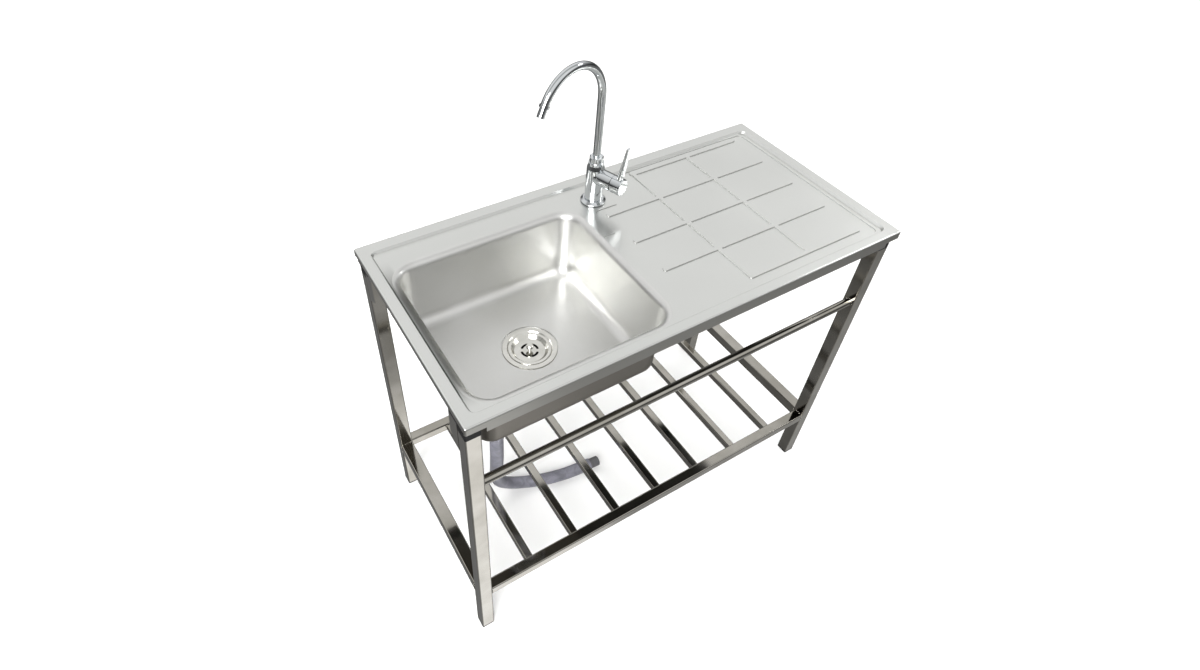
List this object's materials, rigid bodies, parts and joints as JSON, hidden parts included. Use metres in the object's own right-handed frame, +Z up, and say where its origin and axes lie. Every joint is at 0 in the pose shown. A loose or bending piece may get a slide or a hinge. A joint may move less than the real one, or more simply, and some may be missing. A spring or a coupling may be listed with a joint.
{
  "type": "kitchen sink unit",
  "caption": "Free-standing steel kitchen sink unit: one bowl and a ribbed drainboard on a square-tube stand with a slatted shelf, swivel mixer tap and waste hose.",
  "frame": {"origin": "on the floor, under the middle of the deck", "axes": "+X towards the drainboard end, +Y towards the back, +Z up"},
  "size_m": [1, 0.49, 1.131],
  "materials": {
    "brushed_deck": "fine satin, rolled sheet",
    "satin_bowl": "satin, drawn and brushed",
    "polished_tube": "mirror-polished tube",
    "polished_strainer": "polished pressing",
    "chrome_tap": "bright chrome plate",
    "zinc_steel": "zinc-plated",
    "raw_brass": "machined",
    "black_plastic": "moulded",
    "black_rubber": "moulded",
    "grey_plastic": "moulded",
    "white_plastic": "moulded",
    "grey_hose": "smooth extruded",
    "dark_hose_tip": "moulded"
  },
  "bodies": {
    "sink_unit": {"deck_top": "brushed_deck", "bowl": "satin_bowl", "strainer_body": "polished_strainer", "strainer_washer": "black_rubber", "tap_gasket": "black_rubber", "strainer_locknut": "grey_plastic", "outlet_nut": "grey_plastic", "offset_pipe": "grey_plastic", "cuff_nut": "grey_plastic", "hose_cuff": "grey_hose", "drain_hose": "grey_hose", "hose_tip": "dark_hose_tip", "leg_front_left": "polished_tube", "bracket_front_left": "polished_tube", "foot_front_left": "black_plastic", "connector_front_left": "black_plastic", "leg_front_right": "polished_tube", "bracket_front_right": "polished_tube", "foot_front_right": "black_plastic", "connector_front_right": "black_plastic", "leg_back_left": "polished_tube", "bracket_back_left": "polished_tube", "foot_back_left": "black_plastic", "connector_back_left": "black_plastic", "leg_back_right": "polished_tube", "bracket_back_right": "polished_tube", "foot_back_right": "black_plastic", "connector_back_right": "black_plastic", "bracket_screws": "zinc_steel", "mid_rail": "polished_tube", "shelf_rail_front": "polished_tube", "shelf_rail_back": "polished_tube", "shelf_rail_left": "polished_tube", "shelf_rail_right": "polished_tube", "shelf_slat_1": "polished_tube", "shelf_slat_2": "polished_tube", "shelf_slat_3": "polished_tube", "shelf_slat_4": "polished_tube", "shelf_slat_5": "polished_tube", "shelf_slat_6": "polished_tube", "shelf_slat_7": "polished_tube", "tap_flange": "chrome_tap", "tap_body": "chrome_tap", "collar_nut": "chrome_tap", "cartridge_cover": "chrome_tap", "tap_shank": "raw_brass", "shank_nut": "raw_brass", "shank_washer": "zinc_steel", "mixing_cartridge": "white_plastic"},
    "spout": {"spout": "chrome_tap", "spout_bush": "white_plastic", "aerator": "chrome_tap"},
    "mixer_carrier": {"stem_carrier": "raw_brass", "stem_pin": "zinc_steel"},
    "handle": {"cartridge_stem": "zinc_steel", "handle_lever": "chrome_tap", "handle_screw": "zinc_steel"},
    "basket": {"basket_cup": "polished_strainer", "basket_knob": "polished_strainer", "basket_seal": "black_rubber"}
  },
  "joints": [
    {"name": "spout_swivel", "type": "hinge", "parent": "sink_unit", "child": "spout", "pos_m": [0.0013, 0.159, 0.9], "axis": [0, 0, 1], "continuous": true},
    {"name": "temperature_turn", "type": "hinge", "parent": "sink_unit", "child": "mixer_carrier", "pos_m": [0.0013, 0.159, 0.86], "axis": [0.3256, -0.9455, 0], "range_deg": [-45, 45]},
    {"name": "flow_tilt", "type": "hinge", "parent": "mixer_carrier", "child": "handle", "pos_m": [0.01562, 0.1174, 0.86], "axis": [0.9455, 0.3256, 0], "range_deg": [0, 15]},
    {"name": "basket_lift", "type": "slide", "parent": "sink_unit", "child": "basket", "axis": [0, 0, 1], "range_m": [0, 0.05]}
  ]
}
